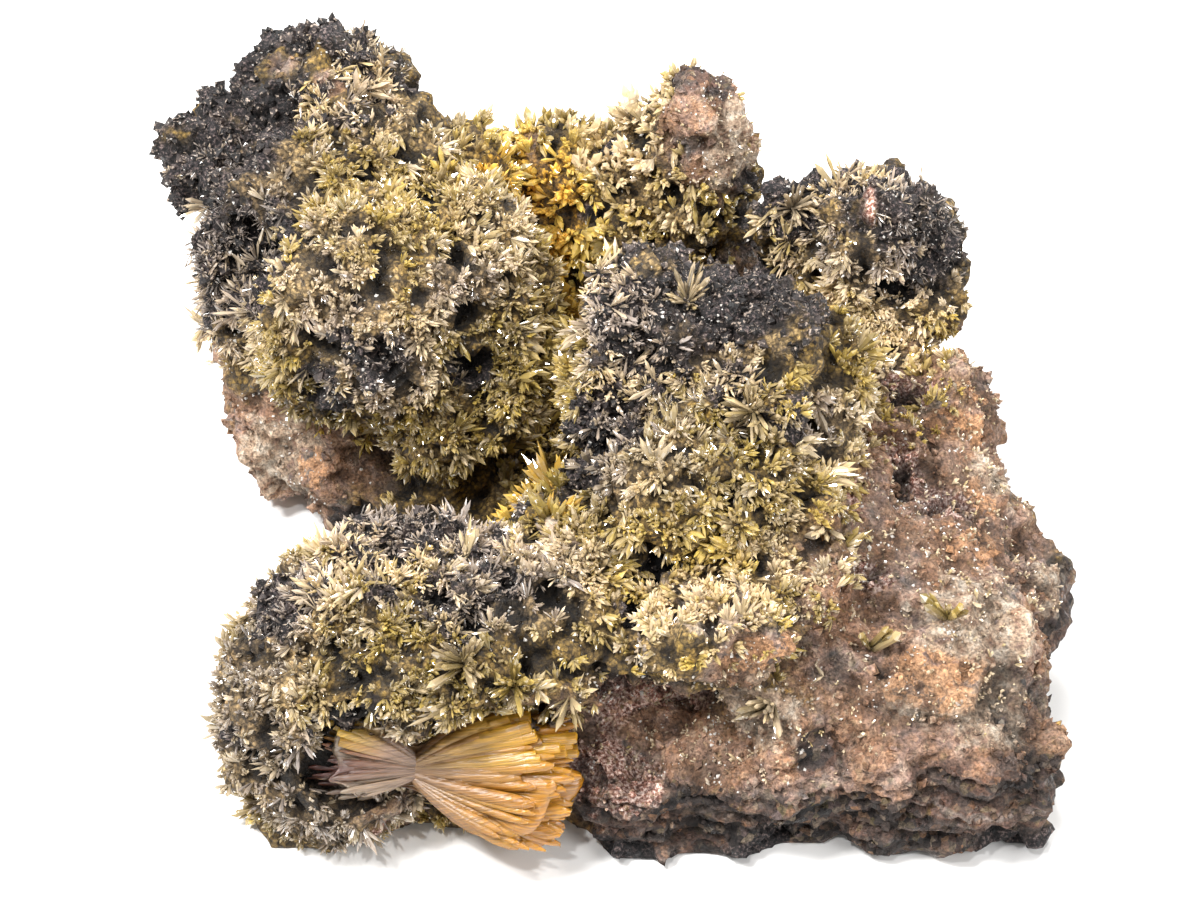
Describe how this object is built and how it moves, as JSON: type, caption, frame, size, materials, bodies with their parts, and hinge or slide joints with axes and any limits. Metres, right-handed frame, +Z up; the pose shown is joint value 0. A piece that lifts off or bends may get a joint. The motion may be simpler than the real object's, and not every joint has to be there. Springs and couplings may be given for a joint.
{
  "type": "mimetite specimen",
  "caption": "Cabinet mineral specimen: knobby gossan rock with a flat underside, black manganese oxide crusts, crusts of small olive yellow mimetite prisms and one amber bow-tie sheaf",
  "frame": {"origin": "middle of the flat underside, at its height", "axes": "+Z up, out of the surface that the specimen rests on; the crystals face up and towards -Y; +X to the right seen from the front"},
  "size_m": [0.0836, 0.076, 0.0416],
  "materials": {
    "gossan_rock": "rough limonite-stained rock, tan to grey, with milky and orange patches",
    "manganese_oxide": "dull black to dark brown, knobby and granular",
    "mimetite_crust": "small translucent olive yellow to grey-tan prisms with a resinous lustre",
    "amber_mimetite": "translucent amber sheaf of parallel prisms, resinous, striated along its length",
    "golden_mimetite": "translucent golden yellow prisms with a resinous lustre",
    "pale_mimetite": "pale tan to dusty translucent prisms with a resinous lustre"
  },
  "bodies": {
    "root": {"manganese_crust_centre_knob": "manganese_oxide", "manganese_crust_front_lobe": "manganese_oxide", "manganese_crust_left_peak": "manganese_oxide", "manganese_crust_right_knob": "manganese_oxide", "matrix_rock": "gossan_rock", "mimetite_blades_front_lobe": "golden_mimetite", "mimetite_bow_tie_sheaf": "amber_mimetite", "mimetite_cluster_front_lobe": "golden_mimetite", "mimetite_cluster_valley": "golden_mimetite", "mimetite_crust_centre": "mimetite_crust", "mimetite_crust_front_lobe": "mimetite_crust", "mimetite_crust_left_lobe": "mimetite_crust", "mimetite_crust_right_knob": "mimetite_crust", "mimetite_crust_valley": "mimetite_crust", "mimetite_crystals_ledge": "pale_mimetite", "mimetite_fan_centre_right": "pale_mimetite", "mimetite_needles_centre_knob": "pale_mimetite", "mimetite_prism_right_block": "pale_mimetite", "mimetite_prism_right_slope": "pale_mimetite", "mimetite_star_right_knob": "pale_mimetite"}
  },
  "joints": []
}
